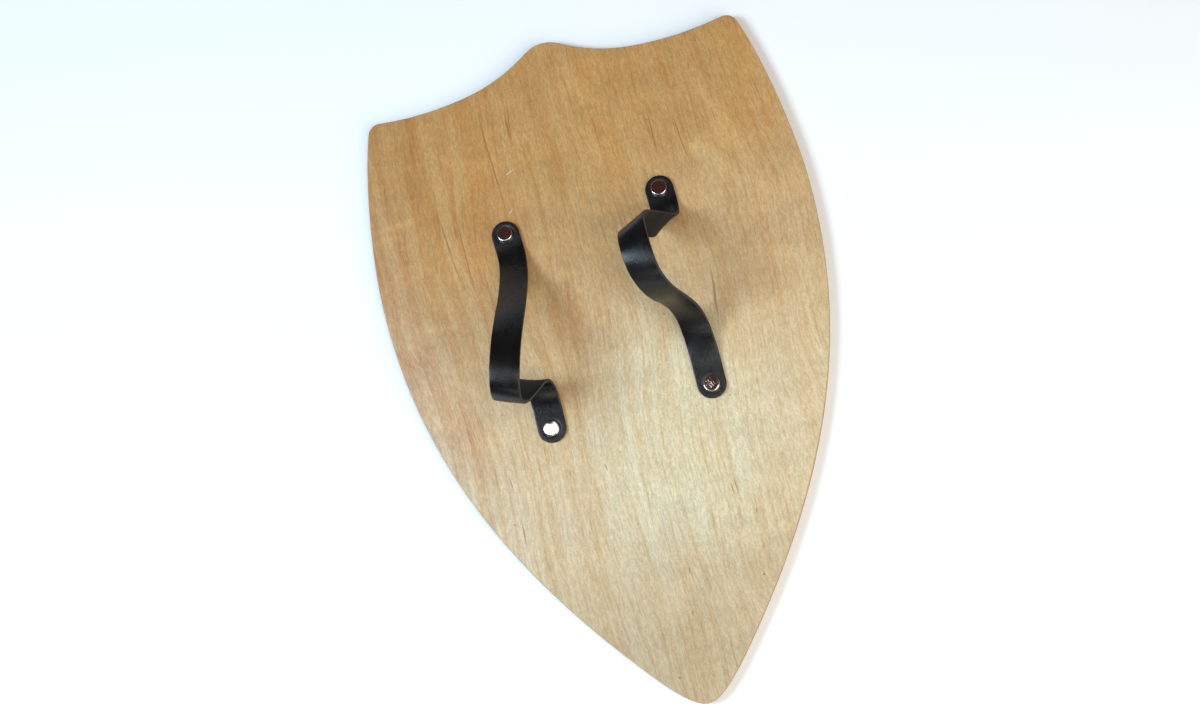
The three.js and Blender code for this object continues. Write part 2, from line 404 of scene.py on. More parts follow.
def cut_corner(height):
    """A test for edges at that height where a flat side meets the cut edge."""

    def wanted(edge):
        level = all(abs(v.co.z - height) < WELD for v in edge.verts)
        return level and any(abs(face.normal.z) < 0.5 for face in edge.link_faces)

    return wanted


def cut_with(piece, cutter):
    """Takes the cutter's volume out of piece and throws the cutter away."""
    pick(piece)
    cut = piece.modifiers.new("Cut", "BOOLEAN")
    cut.operation = "DIFFERENCE"
    cut.solver = "EXACT"
    cut.object = cutter
    bpy.ops.object.modifier_apply(modifier=cut.name)
    bpy.data.objects.remove(cutter, do_unlink=True)


def drill(piece, places, radius, depth):
    """Drills an upright hole through piece at each place."""
    for place in places:
        leave_editing()
        bpy.ops.mesh.primitive_cylinder_add(
            vertices=48, radius=radius, depth=depth, location=place
        )
        cut_with(piece, bpy.context.object)


def set_in_place(piece):
    """Puts the object's own place, turn and size into its mesh."""
    pick(piece)
    bpy.ops.object.transform_apply(location=True, rotation=True, scale=True)


def smooth_by(piece, degrees):
    """Shades piece smooth across edges that bend by less than that."""
    pick(piece)
    bpy.ops.object.shade_smooth_by_angle(angle=math.radians(degrees))


def hand_over(piece, node):
    """Ties a finished piece to the frame's root body and hides the frame node that it stands for."""
    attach(piece, "root")
    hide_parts(node)
    leave_editing()


# ---- building materials ----


def new_material(name):
    """A material with its node tree and its Principled shader."""
    material = bpy.data.materials.new(name)
    material.use_nodes = True
    return material, material.node_tree, material.node_tree.nodes["Principled BSDF"]


def add_node(tree, kind, inputs=None, **settings):
    """Adds a node. An input is either a plain value or the socket that feeds it."""
    made = tree.nodes.new(kind)
    for name, value in settings.items():
        setattr(made, name, value)
    for key, value in (inputs or {}).items():
        if isinstance(value, bpy.types.NodeSocket):
            tree.links.new(value, made.inputs[key])
        else:
            made.inputs[key].default_value = value
    return made


def arithmetic(tree, operation, *values, clamp=False):
    """The result of a Math node, as a socket."""
    made = add_node(tree, "ShaderNodeMath", dict(enumerate(values)), operation=operation)
    made.use_clamp = clamp
    return made.outputs[0]


def scaled(tree, value, factor):
    return arithmetic(tree, "MULTIPLY", value, factor)


def axis_of(tree, place, axis):
    """One coordinate of a place."""
    return add_node(tree, "ShaderNodeSeparateXYZ", {0: place}).outputs[axis]


def object_place(tree):
    return add_node(tree, "ShaderNodeTexCoord").outputs["Object"]


def remap(tree, value, low, high, to_low=0.0, to_high=1.0):
    """Maps low..high to to_low..to_high with soft ends."""
    inputs = {"Value": value, "From Min": low, "From Max": high}
    inputs.update({"To Min": to_low, "To Max": to_high})
    made = add_node(tree, "ShaderNodeMapRange", inputs, interpolation_type="SMOOTHSTEP")
    return made.outputs["Result"]


def blend(tree, amount, first, second, how="MIX"):
    """Mixes two colours, either of which may be a socket or three numbers."""
    colours = [c if isinstance(c, bpy.types.NodeSocket) else (*c, 1.0) for c in (first, second)]
    inputs = {0: amount, 6: colours[0], 7: colours[1]}
    return add_node(tree, "ShaderNodeMix", inputs, data_type="RGBA", blend_type=how).outputs[2]


def shaded(tree, colour, factor):
    """The colour made darker or lighter by a factor about one."""
    return blend(tree, 1.0, colour, factor, "MULTIPLY")


def stretched(tree, place, scale, shift=(0.0, 0.0, 0.0), turn=0.0):
    """Place, shifted, turned about Z and scaled."""
    inputs = {"Vector": place, "Location": shift, "Rotation": (0, 0, turn), "Scale": scale}
    return add_node(tree, "ShaderNodeMapping", inputs).outputs["Vector"]


def clouds(tree, place, scale, detail=2.0, roughness=0.5, distortion=0.0):
    """Noise, as a value about a half."""
    inputs = {"Vector": place, "Scale": scale, "Detail": detail}
    inputs.update({"Roughness": roughness, "Distortion": distortion})
    return add_node(tree, "ShaderNodeTexNoise", inputs).outputs["Fac"]


def long_mark(tree, place, x, y, half_length, half_width, lean):
    """A mark that is 1 at (x, y) and fades out to 0 at its half length and half width."""
    settled = add_node(
        tree,
        "ShaderNodeMapping",
        {
            "Vector": place,
            "Location": (x * MM, y * MM, 0),
            "Rotation": (0, 0, math.radians(lean)),
            "Scale": (half_width * MM, half_length * MM, 1),
        },
        vector_type="TEXTURE",
    )
    inputs = {"Vector": settled.outputs["Vector"]}
    return add_node(tree, "ShaderNodeTexGradient", inputs, gradient_type="SPHERICAL").outputs["Fac"]


def strongest(tree, values):
    """The largest of several values."""
    most = values[0]
    for value in values[1:]:
        most = arithmetic(tree, "MAXIMUM", most, value)
    return most


def relief(tree, shader, layers):
    """Joins bump layers of (height, strength, distance in millimetres) onto the shader."""
    normal = None
    for height, strength, distance in layers:
        inputs = {"Height": height, "Strength": strength, "Distance": distance * MM}
        if normal is not None:
            inputs["Normal"] = normal
        normal = add_node(tree, "ShaderNodeBump", inputs).outputs["Normal"]
    tree.links.new(normal, shader.inputs["Normal"])


# ---- the plywood's finishes ----


def wandering(tree, place, scale, reach):
    """Place with its x moved to and fro by up to about a quarter of reach."""
    slow = add_node(
        tree,
        "ShaderNodeTexNoise",
        {"Vector": stretched(tree, place, scale), "Scale": 1.0, "Detail": 2.0},
    ).outputs["Color"]
    centred = add_node(
        tree, "ShaderNodeVectorMath", {0: slow, 1: (0.5, 0.5, 0.5)}, operation="SUBTRACT"
    ).outputs["Vector"]
    sideways = add_node(
        tree, "ShaderNodeVectorMath", {0: centred, 1: (reach, 0.0, 0.0)}, operation="MULTIPLY"
    ).outputs["Vector"]
    return add_node(
        tree, "ShaderNodeVectorMath", {0: place, 1: sideways}, operation="ADD"
    ).outputs["Vector"]


def tinted(tree, colour, amount, tint):
    """The colour multiplied by a tint, as much of it as amount says."""
    return shaded(tree, colour, blend(tree, amount, (1.0, 1.0, 1.0), tint))


def all_marks(tree, place, rows):
    """The strongest of the long marks at each place, each of its own strength."""
    marks = []
    for *mark, strength in rows:
        shape = remap(tree, long_mark(tree, place, *mark), 0.0, 0.9)
        marks.append(scaled(tree, shape, strength))
    return strongest(tree, marks)


def ground_tone(tree, settings, place):
    """The veneer's broad tone: tan at the top, cream towards the tip and in the pale heart; partly its
    own colour and partly painted light, a warmer lit top and a paler, sheen-lit lower middle.
    """
    drift = clouds(tree, stretched(tree, place, (1.0, 0.6, 1.0)), 9.0, 2.0)
    lift = arithmetic(tree, "MULTIPLY_ADD", drift, 0.12, -0.06)
    leaning = stretched(tree, place, (1.0, 1.0, 1.0), turn=math.radians(-17))
    towards_top = arithmetic(tree, "ADD", axis_of(tree, leaning, "Y"), lift)
    # Painted light: the fade towards cream and the pale heart also stand in for the warmer light on the
    # top and the sheen on the lower middle.
    fading = scaled(tree, remap(tree, towards_top, 0.15, -0.10), 0.66)
    lit_heart = remap(tree, long_mark(tree, place, *PALE_AND_LIT_HEART), 0.0, 0.8, 0.0, 0.5)
    pale_and_lit = arithmetic(tree, "ADD", fading, lit_heart, clamp=True)
    return blend(tree, pale_and_lit, settings.tan_veneer, settings.cream_veneer)


def growth_rings(tree, colour, place, grain):
    """The colour with broad, swirling and thread-thin rings, and the threads by themselves."""
    broad = clouds(tree, stretched(tree, grain, (1.0, 0.035, 1.0)), 150.0, 1.0, 0.5, 0.15)
    striped = remap(tree, axis_of(tree, place, "X"), -0.11, 0.04, 0.80, 0.34)
    figure = arithmetic(tree, "MULTIPLY", remap(tree, broad, 0.40, 0.62), striped)
    colour = tinted(tree, colour, figure, WARM_TINT)
    swirl = clouds(tree, stretched(tree, grain, (1.0, 0.30, 1.0)), 60.0, 2.0, 0.5, 0.7)
    colour = tinted(tree, colour, remap(tree, swirl, 0.44, 0.72, 0.0, 0.50), WARM_TINT)
    narrow = clouds(tree, stretched(tree, grain, (1.0, 0.035, 1.0), (0.31, 0, 0)), 360.0, 2.0, 0.6)
    threads = remap(tree, narrow, 0.46, 0.70)
    return tinted(tree, colour, scaled(tree, threads, 0.70), WARM_TINT), threads


def short_fibres(tree, colour, place, grain):
    """The colour with fine fibres, grit and dark flecks, and the fine fibres by themselves."""
    fine = clouds(tree, stretched(tree, grain, (1.0, 0.26, 1.0)), 900.0, 2.0, 0.6)
    colour = shaded(tree, colour, remap(tree, fine, 0.30, 0.70, 0.88, 1.12))
    grit = clouds(tree, stretched(tree, place, (1.0, 0.6, 1.0)), 1500.0, 1.0)
    colour = shaded(tree, colour, remap(tree, grit, 0.30, 0.70, 0.93, 1.07))
    flecks = clouds(tree, stretched(tree, grain, (1.0, 0.05, 1.0), (0, 0.7, 0)), 600.0, 1.0)
    return tinted(tree, colour, remap(tree, flecks, 0.56, 0.76, 0.0, 0.75), DASH_TINT), fine


def dips_and_patches(tree, colour, place, grain):
    """The colour with soft ripples, pale curl bands with painted sheen and redder patches, and the
    bands by themselves.
    """
    ripple = clouds(tree, stretched(tree, place, (0.45, 1.0, 1.0)), 42.0, 2.0, 0.5, 0.8)
    colour = shaded(tree, colour, remap(tree, ripple, 0.35, 0.68, 0.96, 1.05))
    broken = clouds(tree, stretched(tree, grain, (1.0, 0.4, 1.0)), 300.0, 3.0, 0.6)
    patchy = remap(tree, broken, 0.30, 0.62, 0.35, 1.0)
    wavy = wandering(tree, place, (26.0, 40.0, 3.0), 0.008)
    # Painted sheen: the curl bands are lifted towards a cool pale tint where their dipping fibres would
    # catch the light.
    curl_sheen = arithmetic(tree, "MULTIPLY", all_marks(tree, wavy, CURL_SHEEN_BANDS), patchy)
    colour = tinted(tree, colour, curl_sheen, CURL_SHEEN_TINT)
    redder = arithmetic(tree, "MULTIPLY", all_marks(tree, wavy, RED_PATCHES), patchy)
    return tinted(tree, colour, redder, WARM_TINT), curl_sheen


def single_marks(tree, settings, colour, place):
    """The colour with the mineral streaks, scratches and specks."""
    bent = wandering(tree, place, (30.0, 22.0, 3.0), 0.004)
    streaks = strongest(tree, [long_mark(tree, bent, *mark) for mark in MINERAL_STREAKS])
    streak_mask = scaled(tree, remap(tree, streaks, 0.0, 0.7), 0.75)
    colour = blend(tree, streak_mask, colour, STREAK_COLOUR)
    scratches = strongest(tree, [long_mark(tree, place, *mark) for mark in SCRATCHES])
    scratch_mask = scaled(tree, remap(tree, scratches, 0.0, 0.6), 0.7)
    colour = blend(tree, scratch_mask, colour, settings.cream_veneer)
    specks = [long_mark(tree, place, x, y, radius, radius, 0) for x, y, radius in SPECKS]
    speck_mask = scaled(tree, remap(tree, strongest(tree, specks), 0.1, 0.7), 0.75)
    return blend(tree, speck_mask, colour, SPECK_COLOUR)


def veneer_colour(tree, settings):
    """The face veneer's colour, with its fine fibres, its thin rings, its pale bands with their painted
    sheen, and painted shade towards the tip and the left edge.
    """
    place = object_place(tree)
    grain = wandering(tree, place, (7.0, 4.0, 3.0), 0.045)
    colour = ground_tone(tree, settings, place)
    colour, threads = growth_rings(tree, colour, place, grain)
    colour, fine = short_fibres(tree, colour, place, grain)
    colour, curl_sheen = dips_and_patches(tree, colour, place, grain)
    colour = single_marks(tree, settings, colour, place)
    # Painted shade: the veneer is darkened towards the tip and along the left edge, where less light
    # falls.
    painted_tip_shade = remap(tree, axis_of(tree, place, "Y"), -0.21, -0.08, 0.80, 1.0)
    painted_left_shade = remap(tree, axis_of(tree, place, "X"), -0.14, -0.07, 0.90, 1.0)
    colour = shaded(tree, shaded(tree, colour, painted_tip_shade), painted_left_shade)
    return colour, fine, threads, curl_sheen


def face_veneer(settings):
    material, tree, shader = new_material("rotary_cut_veneer")
    colour, fine, threads, curl_sheen = veneer_colour(tree, settings)
    tree.links.new(colour, shader.inputs["Base Color"])
    roughness = remap(tree, fine, 0.3, 0.7, 0.46, 0.36)
    smoother = arithmetic(tree, "SUBTRACT", roughness, scaled(tree, curl_sheen, 0.06))
    tree.links.new(smoother, shader.inputs["Roughness"])
    shader.inputs["Specular IOR Level"].default_value = 0.5
    relief(tree, shader, [(fine, 0.35, 0.05), (threads, 0.25, 0.06)])
    return material


def ply_edge(settings):
    """Five plies seen from the side: long and end grain by turns, with dark glue lines between."""
    material, tree, shader = new_material("sanded_ply_edge")
    place = object_place(tree)
    waver = clouds(tree, stretched(tree, place, (1.0, 1.0, 3.0)), 60.0, 2.0)
    uneven = arithmetic(tree, "MULTIPLY_ADD", waver, 0.5 * MM, -0.25 * MM)
    height = arithmetic(tree, "ADD", axis_of(tree, place, "Z"), uneven)
    share = remap(tree, height, FRONT_FACE, BACK_FACE)
    share.node.interpolation_type = "LINEAR"
    ramp = add_node(tree, "ShaderNodeValToRGB", {0: share})
    layers = ramp.color_ramp
    layers.interpolation = "EASE"
    long_grain = (0.55, 0.36, 0.18, 1)
    end_grain = (0.36, 0.17, 0.07, 1)
    glue = (*settings.glue_line, 1)
    for outermost, position in zip(layers.elements, (0.0, 1.0)):
        outermost.position = position
        outermost.color = long_grain
    glue_reach = 0.024
    plies = [long_grain, end_grain, long_grain, end_grain, long_grain]
    for start, below, above in zip((0.15, 0.39, 0.61, 0.85), plies, plies[1:]):
        for offset, tone in ((-glue_reach, below), (0.0, glue), (glue_reach, above)):
            layers.elements.new(start + offset).color = tone
    pores = clouds(tree, stretched(tree, place, (1.0, 1.0, 2.2)), 2600.0, 2.0)
    colour = shaded(tree, ramp.outputs["Color"], remap(tree, pores, 0.3, 0.7, 0.74, 1.12))
    sanding = clouds(tree, stretched(tree, place, (1.0, 1.0, 14.0)), 420.0, 2.0)
    colour = shaded(tree, colour, remap(tree, sanding, 0.3, 0.7, 0.88, 1.08))
    tree.links.new(colour, shader.inputs["Base Color"])
    shader.inputs["Roughness"].default_value = 0.62
    relief(tree, shader, [(pores, 0.5, 0.08), (sanding, 0.3, 0.08)])
    return material


# ---- the leather's finishes ----


def flat_place(tree):
    """Where a place on a strap was while the leather still lay flat."""
    return add_node(tree, "ShaderNodeAttribute", attribute_name="flat_place").outputs["Vector"]


def hair_side(settings):
    material, tree, shader = new_material("black_leather_hair_side")
    place = flat_place(tree)
    tone = clouds(tree, stretched(tree, place, (0.5, 1.0, 1.0)), 130.0, 3.0)
    scuffs = clouds(tree, stretched(tree, place, (0.12, 1.0, 1.0)), 900.0, 3.0, 0.6)
    worn = remap(tree, scuffs, 0.60, 0.78)
    brown = tuple(1.5 * c * t for c, t in zip(settings.hair_side, (1.1, 0.95, 0.85)))
    light = scaled(tree, remap(tree, tone, 0.35, 0.7), 0.55)
    colour = blend(tree, light, settings.hair_side, brown)
    colour = blend(tree, scaled(tree, worn, 0.25), colour, (0.024, 0.024, 0.026))
    tree.links.new(colour, shader.inputs["Base Color"])
    gloss = remap(tree, tone, 0.3, 0.7, 0.25, 0.32)
    duller = arithmetic(tree, "MULTIPLY_ADD", worn, 0.10, gloss)
    tree.links.new(duller, shader.inputs["Roughness"])
    shader.inputs["Specular IOR Level"].default_value = 0.46
    cells = add_node(
        tree,
        "ShaderNodeTexVoronoi",
        {"Vector": place, "Scale": 1500.0, "Smoothness": 0.4},
        feature="SMOOTH_F1",
    ).outputs["Distance"]
    pores = clouds(tree, place, 2600.0, 2.0)
    waves = clouds(tree, stretched(tree, place, (1.0, 0.6, 1.0)), 170.0, 2.0)
    relief(tree, shader, [(waves, 0.10, 0.35), (cells, 0.50, 0.12), (pores, 0.40, 0.06)])
    return material


def flesh_side(settings):
    material, tree, shader = new_material("black_leather_flesh_side")
    place = flat_place(tree)
    nap = clouds(tree, stretched(tree, place, (0.5, 1.0, 1.0)), 1300.0, 4.0, 0.65, 0.4)
    patches = clouds(tree, place, 150.0, 2.0)
    lighter = tuple(1.9 * c for c in settings.flesh_side)
    colour = blend(tree, remap(tree, nap, 0.35, 0.72), settings.flesh_side, lighter)
    colour = shaded(tree, colour, remap(tree, patches, 0.3, 0.7, 0.8, 1.15))
    tree.links.new(colour, shader.inputs["Base Color"])
    shader.inputs["Roughness"].default_value = 0.88
    shader.inputs["Specular IOR Level"].default_value = 0.25
    shader.inputs["Sheen Weight"].default_value = 0.05
    shader.inputs["Sheen Roughness"].default_value = 0.5
    relief(tree, shader, [(nap, 0.7, 0.14)])
    return material


def cut_edge(settings):
    material, tree, shader = new_material("black_leather_cut_edge")
    place = flat_place(tree)
    fibres = clouds(tree, stretched(tree, place, (1.0, 1.0, 0.5)), 2100.0, 3.0, 0.6)
    stain = clouds(tree, place, 260.0, 2.0)
    # Partly painted highlight: the bluish grey of the edge also stands in for the light caught along
    # it.
    raw = tuple(0.45 * c for c in settings.cut_edge)
    colour = blend(tree, remap(tree, fibres, 0.3, 0.7), raw, settings.cut_edge)
    colour = blend(tree, remap(tree, stain, 0.55, 0.75, 0.0, 0.35), colour, (0.075, 0.04, 0.025))
    tree.links.new(colour, shader.inputs["Base Color"])
    shader.inputs["Roughness"].default_value = 0.7
    shader.inputs["Specular IOR Level"].default_value = 0.4
    relief(tree, shader, [(fibres, 0.6, 0.12)])
    return material


def plated_nickel(settings):
    material, tree, shader = new_material("plated_nickel")
    place = object_place(tree)
    haze = clouds(tree, place, 700.0, 3.0)
    dull = tuple(0.82 * c for c in settings.nickel)
    colour = blend(tree, remap(tree, haze, 0.45, 0.75), settings.nickel, dull)
    tree.links.new(colour, shader.inputs["Base Color"])
    shader.inputs["Metallic"].default_value = 1.0
    rubbed = clouds(tree, stretched(tree, place, (1.0, 0.25, 1.0), turn=0.6), 2600.0, 3.0)
    tree.links.new(remap(tree, rubbed, 0.35, 0.75, 0.06, 0.14), shader.inputs["Roughness"])
    relief(tree, shader, [(haze, 0.05, 0.02), (rubbed, 0.03, 0.01)])
    return material


# ---- the board ----


def model_board(settings):
    """The board, drawn round the frame board's widest outline and raised to its thickness."""
    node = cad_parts["shield_board"]
    board = bpy.data.objects.new("plywood_board", node.data.copy())
    board.data.materials.clear()
    bpy.context.scene.collection.objects.link(board)
    start_editing(board)
    bpy.ops.mesh.select_all(action="SELECT")
    bpy.ops.mesh.remove_doubles(threshold=WELD)
    levels = sorted({round(v.co.z / WELD) for v in bmesh.from_edit_mesh(board.data).verts})
    widest = levels[-2] * WELD
    select_where(board, "VERT", lambda v: abs(v.co.z - widest) > 2 * WELD)
    bpy.ops.mesh.delete(type="VERT")
    bpy.ops.mesh.select_all(action="SELECT")
    bpy.ops.transform.translate(value=(0, 0, FRONT_FACE - widest))
    bpy.ops.mesh.edge_face_add()
    rise = BACK_FACE - FRONT_FACE
    bpy.ops.mesh.extrude_region_move(TRANSFORM_OT_translate={"value": (0, 0, rise)})
    bpy.ops.mesh.select_all(action="SELECT")
    bpy.ops.mesh.normals_make_consistent(inside=False)
    for height in (FRONT_FACE, BACK_FACE):
        select_where(
            board,
            "EDGE",
            lambda edge, at=height: all(abs(v.co.z - at) < rise / 4 for v in edge.verts),
        )
        bpy.ops.mesh.bevel(offset=settings.edge_round, segments=5, profile=0.5, affect="EDGES")
    leave_editing()
    return board


def finish_board(board, settings):
    """Gives the two faces their veneer and the edge its plies."""
    board.data.materials.append(face_veneer(settings))
    board.data.materials.append(ply_edge(settings))
    for face in board.data.polygons:
        face.material_index = 0 if abs(face.normal.z) > 0.9 else 1
    smooth_by(board, 40)


# ---- the straps ----


def smooth_through(rows):
    """Rows of a route joined by a centripetal Catmull-Rom curve, as many closely spaced rows."""
    rows = np.array(rows, float)
    rows = np.vstack([2 * rows[0] - rows[1], rows, 2 * rows[-1] - rows[-2]])
    gaps = np.sqrt(np.linalg.norm(np.diff(rows[:, :3], axis=0), axis=1))[:, None]
    made = []
    for i in range(1, len(rows) - 2):
        before, near, far, after = rows[i - 1 : i + 3]
        g0, g1, g2 = gaps[i - 1 : i + 2]
        leaving = (near - before) / g0 - (far - before) / (g0 + g1) + (far - near) / g1
        arriving = (far - near) / g1 - (after - near) / (g1 + g2) + (after - far) / g2
        leaving, arriving = leaving * g1, arriving * g1
        t = np.linspace(0, 1, STEPS_PER_LEG, endpoint=False)[:, None]
        cubic = 2 * near - 2 * far + leaving + arriving
        square = 3 * far - 3 * near - 2 * leaving - arriving
        made.append(near + leaving * t + square * t**2 + cubic * t**3)
    made.append(rows[-2:-1])
    return np.vstack(made)


def unit_rows(vectors):
    """Each row scaled to length 1."""
    return vectors / np.linalg.norm(vectors, axis=1)[:, None]


def read_off(rows, distance, at):
    """The rows' values at some distances along them."""
    return np.stack([np.interp(at, distance, column) for column in rows.T], axis=1)


def relaxed(rows):
    """The rows evened out over a few millimetres, as stiff leather bends, with both ends held."""
    spacing = np.linalg.norm(np.diff(rows[:, :3], axis=0), axis=1)
    distance = np.concatenate([[0], np.cumsum(spacing)])
    even = np.linspace(0, distance[-1], round(distance[-1] / RELAX_STEP) + 1)
    rows = read_off(rows, distance, even)
    reach = round(3 * LEATHER_STIFFNESS / RELAX_STEP)
    weights = np.exp(-0.5 * (np.arange(-reach, reach + 1) * RELAX_STEP / LEATHER_STIFFNESS) ** 2)
    weights /= weights.sum()
    before = 2 * rows[0] - rows[reach:0:-1]
    after = 2 * rows[-1] - rows[-2 : -reach - 2 : -1]
    longer = np.vstack([before, rows, after])
    return np.stack([np.convolve(column, weights, "valid") for column in longer.T], axis=1)


def lay_out(route):
    """A strap's middle line with the across and up directions along it, in metres."""
    rows = relaxed(smooth_through(route))
    middle = rows[:, :3] * MM + (0, 0, BACK_FACE)
    turn, tilt = np.radians(rows[:, 3]), np.radians(rows[:, 4])
    along = unit_rows(np.gradient(middle, axis=0))
    level = np.cos(tilt)
    across = np.stack([np.cos(turn) * level, np.sin(turn) * level, np.sin(tilt)], axis=1)
    across -= along * np.sum(across * along, axis=1)[:, None]
    across = unit_rows(across)
    up = np.cross(along, across)
    steps = np.linalg.norm(np.diff(middle, axis=0), axis=1)
    distance = np.concatenate([[0], np.cumsum(steps)])
    return distance, middle, across, up


def cut_blank(name, length, settings):
    """The strap's blank, flat at the origin, x along it from 0 and y across it, ends rounded."""
    cells = (round(length / STRAP_CELL), round(settings.width / STRAP_CELL))
    leave_editing()
    bpy.ops.mesh.primitive_grid_add(x_subdivisions=cells[0], y_subdivisions=cells[1], size=1)
    blank = bpy.context.object
    blank.name = blank.data.name = name
    start_editing(blank)
    bpy.ops.transform.resize(value=(length, settings.width, 1))
    bpy.ops.transform.translate(value=(length / 2, 0, 0))
    leave_editing()
    radius = settings.width / 2
    for vertex in blank.data.vertices:
        x, y, _ = vertex.co
        end = 0 if x < length / 2 else length
        inwards = 1 if end == 0 else -1
        out = 1 - min(abs(x - end), radius) / radius
        sideways = y / radius
        if out > 0:
            y = radius * sideways * math.sqrt(1 - out**2 / 2)
            reach = radius * out * math.sqrt(1 - sideways**2 / 2)
            x = end + inwards * (radius - reach)
        vertex.co = (x, y, 0)
    return blank


def thicken(blank, settings):
    """Gives the blank its thickness, then rounds the edge, more on the hair side."""
    pick(blank)
    body = blank.modifiers.new("Thickness", "SOLIDIFY")
    body.thickness = settings.thickness
    body.offset = 0
    bpy.ops.object.modifier_apply(modifier=body.name)
    half = settings.thickness / 2
    start_editing(blank)
    bpy.ops.mesh.select_all(action="SELECT")
    bpy.ops.mesh.normals_make_consistent(inside=False)
    for height, easing, segments in ((half, settings.hair_side_round, 4), (-half, 0.25 * MM, 2)):
        select_where(blank, "EDGE", cut_corner(height))
        bpy.ops.mesh.bevel(offset=easing, segments=segments, profile=0.5, affect="EDGES")
    leave_editing()


def soft_step(value):
    """0 below 0, 1 above 1, and smooth between."""
    value = np.clip(value, 0, 1)
    return value * value * (3 - 2 * value)


def pressed_relief(flat, rivet_distances, length, bite):
    """How far the leather's hair side stands below its cut height at each flat place."""
    down = np.zeros(len(flat))
    for at in rivet_distances:
        reach = np.hypot(flat[:, 0] - at, flat[:, 1])
        down += bite * (1 - soft_step((reach - RIVET_RADIUS) / SEAT_SLOPE))
        ring = np.exp(-(((reach - RIVET_RADIUS - RING_GAP) / RING_SPREAD) ** 2))
        down -= RING_RISE * ring
    crease_middle = length - CREASE_FROM_END
    near_crease = np.exp(-(((flat[:, 0] - crease_middle) / CREASE_SPREAD) ** 2))
    wander = 0.9 * MM * np.sin(flat[:, 1] / (3.1 * MM)) + 0.25 * flat[:, 1]
    folds = np.cos((flat[:, 0] + wander) / (0.33 * MM))
    folds += 0.8 * np.cos((flat[:, 0] - 0.7 * wander) / (0.47 * MM) + 1.3)
    down += CREASE_DEPTH * near_crease * folds
    return down


def strap_finish(face):
    """Which finish a face of the flat strap takes: hair side, flesh side or cut edge."""
    if face.normal.z > 0.6:
        return 0
    if face.normal.z < -0.6:
        return 1
    return 2


def lay_strap(strap, route, rivets, settings, bite):
    """Presses the rivets' seats into the flat leather, punches it and lays it along its route."""
    distance, middle, across, up = lay_out(route)
    length = distance[-1]
    tops = [np.argmin(np.hypot(*(middle[:, :2] - (p.x, p.y)).T)) for p in rivets]
    rivet_distances = distance[tops]
    hole_radius = bpy.context.scene.shield_rivets.hole_radius
    drill(strap, [(at, 0, 0) for at in rivet_distances], hole_radius, 4 * settings.thickness)
    mesh = strap.data
    flat = np.empty(3 * len(mesh.vertices))
    mesh.vertices.foreach_get("co", flat)
    flat = flat.reshape(-1, 3)
    remembered = mesh.attributes.new("flat_place", "FLOAT_VECTOR", "POINT")
    remembered.data.foreach_set("vector", flat.ravel())
    finishes = [strap_finish(face) for face in mesh.polygons]
    half = settings.thickness / 2
    on_hair_side = soft_step(flat[:, 2] / half * 4 - 2)
    height = flat[:, 2] - on_hair_side * pressed_relief(flat, rivet_distances, length, bite)
    at = flat[:, 0]
    from_end = np.minimum(at, length - at)
    cupped = CUPPING * soft_step((from_end - CUPPING_START) / CUPPING_GROWTH)
    height -= cupped * (2 * flat[:, 1] / settings.width) ** 2
    laid = read_off(middle, distance, at) + read_off(across, distance, at) * flat[:, 1:2]
    laid += read_off(up, distance, at) * height[:, None]
    laid[:, 2] = np.maximum(laid[:, 2], BACK_FACE + LEAST_STRAP_HEIGHT)
    mesh.vertices.foreach_set("co", laid.ravel())
    mesh.update()
    mesh.polygons.foreach_set("material_index", finishes)


# ---- the rivets ----


def crown_profile(height):
    """A cap from its rim inwards: a rolled edge and then a low crown, as (radius, height)."""
    inner = RIVET_RADIUS * (1 - ROLL_SHARE)
    shoulder = height - CROWN_RISE
    profile = []
    for i in range(1, ROLL_STEPS + 1):
        angle = math.pi / 2 * i / ROLL_STEPS
        radius = RIVET_RADIUS - (RIVET_RADIUS - inner) * (1 - math.cos(angle))
        profile.append((radius, CAP_SIDE + (shoulder - CAP_SIDE) * math.sin(angle)))
    for i in range(1, CROWN_RINGS + 1):
        radius = inner * (1 - i / (CROWN_RINGS + 0.4))
        profile.append((radius, shoulder + CROWN_RISE * (1 - (radius / inner) ** 2)))
    return profile


def press_cap(name, facing, seat, height):
    """A pressed metal cap on the origin's upright axis, its rim at seat, domed towards facing."""
    leave_editing()
    bpy.ops.mesh.primitive_cylinder_add(
        vertices=64,
        radius=RIVET_RADIUS,
        depth=CAP_SIDE,
        location=(0, 0, seat + facing * CAP_SIDE / 2),
    )
    cap = bpy.context.object
    cap.name = cap.data.name = name
    set_in_place(cap)
    start_editing(cap)
    select_where(cap, "FACE", lambda face: face.normal.z * facing > 0.9)
    radius, level = RIVET_RADIUS, CAP_SIDE
    for next_radius, next_level in crown_profile(height):
        bpy.ops.mesh.inset(thickness=radius - next_radius)
        bpy.ops.transform.translate(value=(0, 0, facing * (next_level - level)))
        radius, level = next_radius, next_level
    select_where(cap, "FACE", lambda face: face.normal.z * facing < -0.9)
    return cap


def model_cap(name, settings):
    """A back cap: the rolled rim turns under, and the inside is hollow round the post."""
    cap = press_cap(name, 1, LEATHER_TOP - settings.bite, CAP_TOP - LEATHER_TOP + settings.bite)
    bpy.ops.mesh.inset(thickness=UNDERTURN)
    bpy.ops.mesh.extrude_region_move(TRANSFORM_OT_translate={"value": (0, 0, HOLLOW_DEPTH)})
    leave_editing()
    return cap


def model_post(name, settings):
    """A front head with the post that runs through board and leather up into the cap."""
    head = press_cap(name, -1, FRONT_FACE, FRONT_FACE)
    bpy.ops.mesh.inset(thickness=RIVET_RADIUS - settings.post_radius)
    post_length = LEATHER_TOP - FRONT_FACE
    bpy.ops.mesh.extrude_region_move(TRANSFORM_OT_translate={"value": (0, 0, post_length)})
    bpy.ops.mesh.bevel(offset=POST_EASING, segments=3, affect="EDGES")
    leave_editing()
    return head


